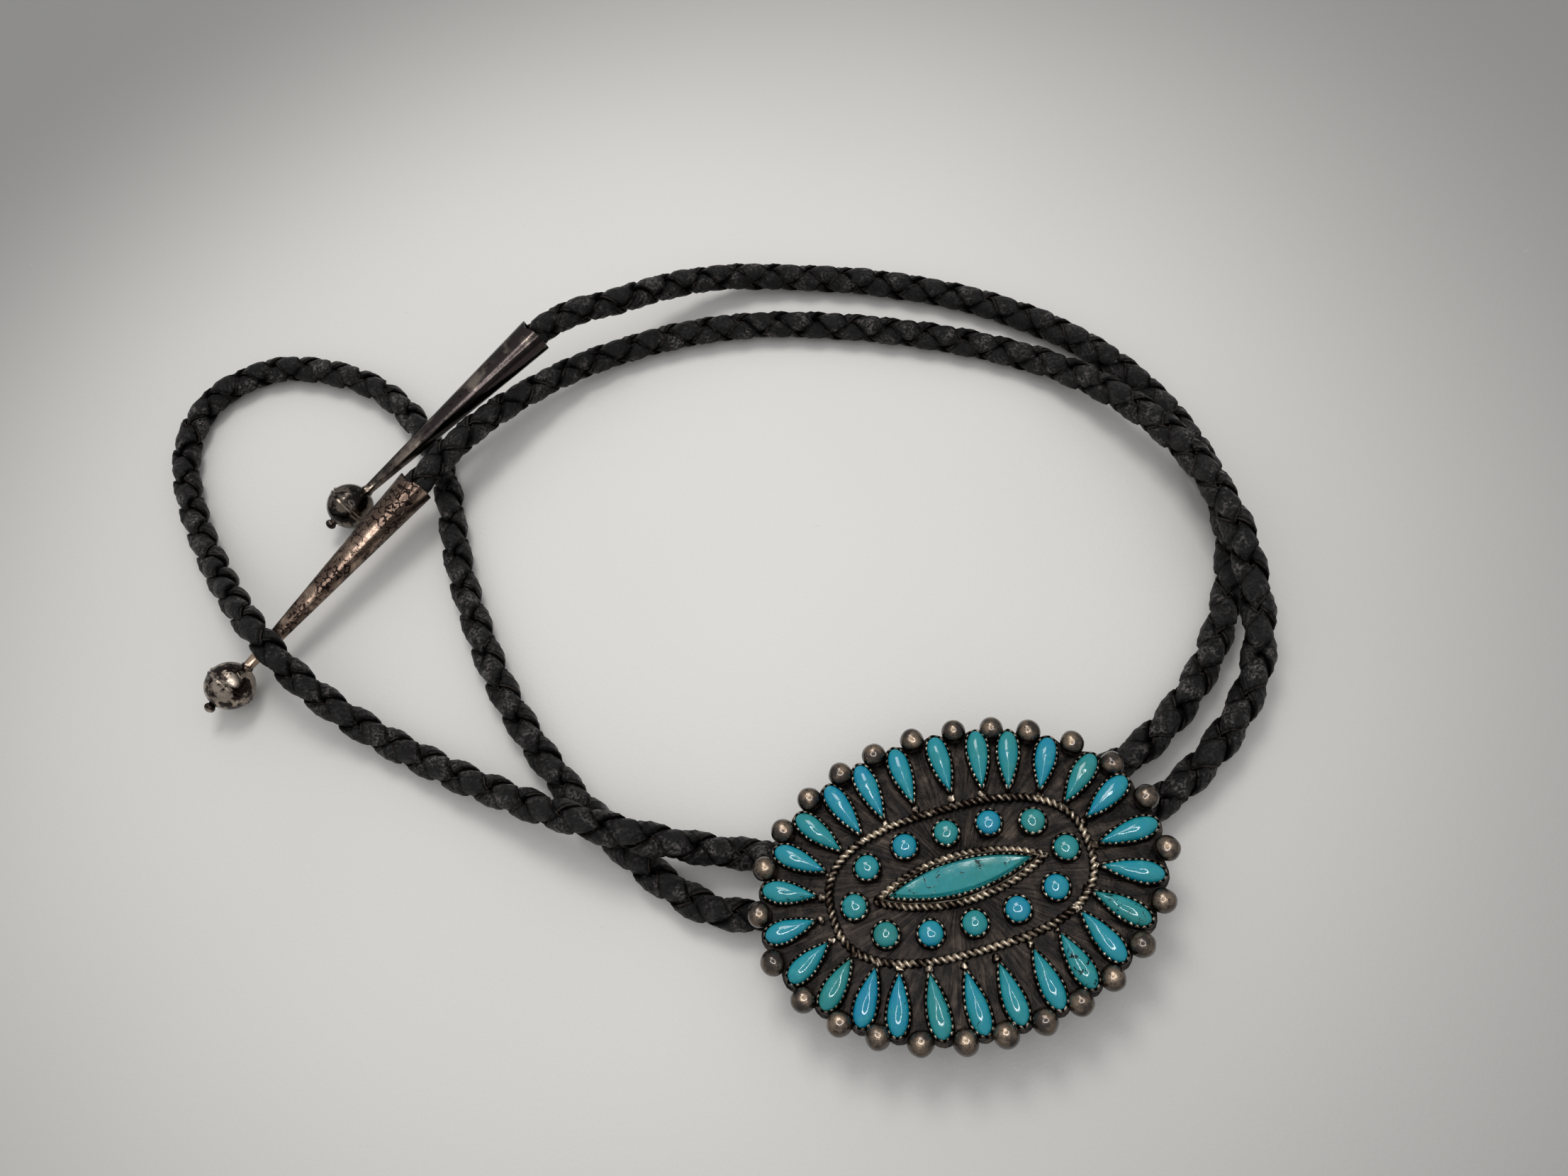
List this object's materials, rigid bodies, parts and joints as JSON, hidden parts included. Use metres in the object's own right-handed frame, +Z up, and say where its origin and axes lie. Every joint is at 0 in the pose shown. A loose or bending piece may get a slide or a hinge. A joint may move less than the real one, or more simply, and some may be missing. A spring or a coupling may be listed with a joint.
{
  "type": "bolo tie",
  "caption": "Braided leather cord through an oval silver slide set with pear, round and long turquoise stones, with two long cone tips that end in balls.",
  "frame": {"origin": "under the middle of the slide, on the surface that the tie lies on", "axes": "+X along the slide's long axis, +Y towards the neck loop, +Z up out of the slide's face"},
  "size_m": [0.1791, 0.1572, 0.0156],
  "materials": {
    "slide_silver": "old silver, dark in the hollows and rubbed bright on the high edges",
    "clip_silver": "plain dull silver",
    "tip_silver": "rolled sheet silver with brown tarnish",
    "cord_leather": "black lace, four strands, worn grey on the edges",
    "turquoise": "polished stone, blue to green, with dark matrix"
  },
  "bodies": {
    "root": {"silver_slide": "slide_silver", "cord_clip": "clip_silver", "braided_cord": "cord_leather", "long_stone": "turquoise", "pear_stone_01": "turquoise", "pear_stone_02": "turquoise", "pear_stone_03": "turquoise", "pear_stone_04": "turquoise", "pear_stone_05": "turquoise", "pear_stone_06": "turquoise", "pear_stone_07": "turquoise", "pear_stone_08": "turquoise", "pear_stone_09": "turquoise", "pear_stone_10": "turquoise", "pear_stone_11": "turquoise", "pear_stone_12": "turquoise", "pear_stone_13": "turquoise", "pear_stone_14": "turquoise", "pear_stone_15": "turquoise", "pear_stone_16": "turquoise", "pear_stone_17": "turquoise", "pear_stone_18": "turquoise", "pear_stone_19": "turquoise", "pear_stone_20": "turquoise", "pear_stone_21": "turquoise", "pear_stone_22": "turquoise", "pear_stone_23": "turquoise", "pear_stone_24": "turquoise", "pear_stone_25": "turquoise", "pear_stone_26": "turquoise", "round_stone_01": "turquoise", "round_stone_02": "turquoise", "round_stone_03": "turquoise", "round_stone_04": "turquoise", "round_stone_05": "turquoise", "round_stone_06": "turquoise", "round_stone_07": "turquoise", "round_stone_08": "turquoise", "round_stone_09": "turquoise", "round_stone_10": "turquoise", "round_stone_11": "turquoise", "round_stone_12": "turquoise", "tip_over": "tip_silver", "tip_under": "tip_silver"}
  },
  "joints": []
}
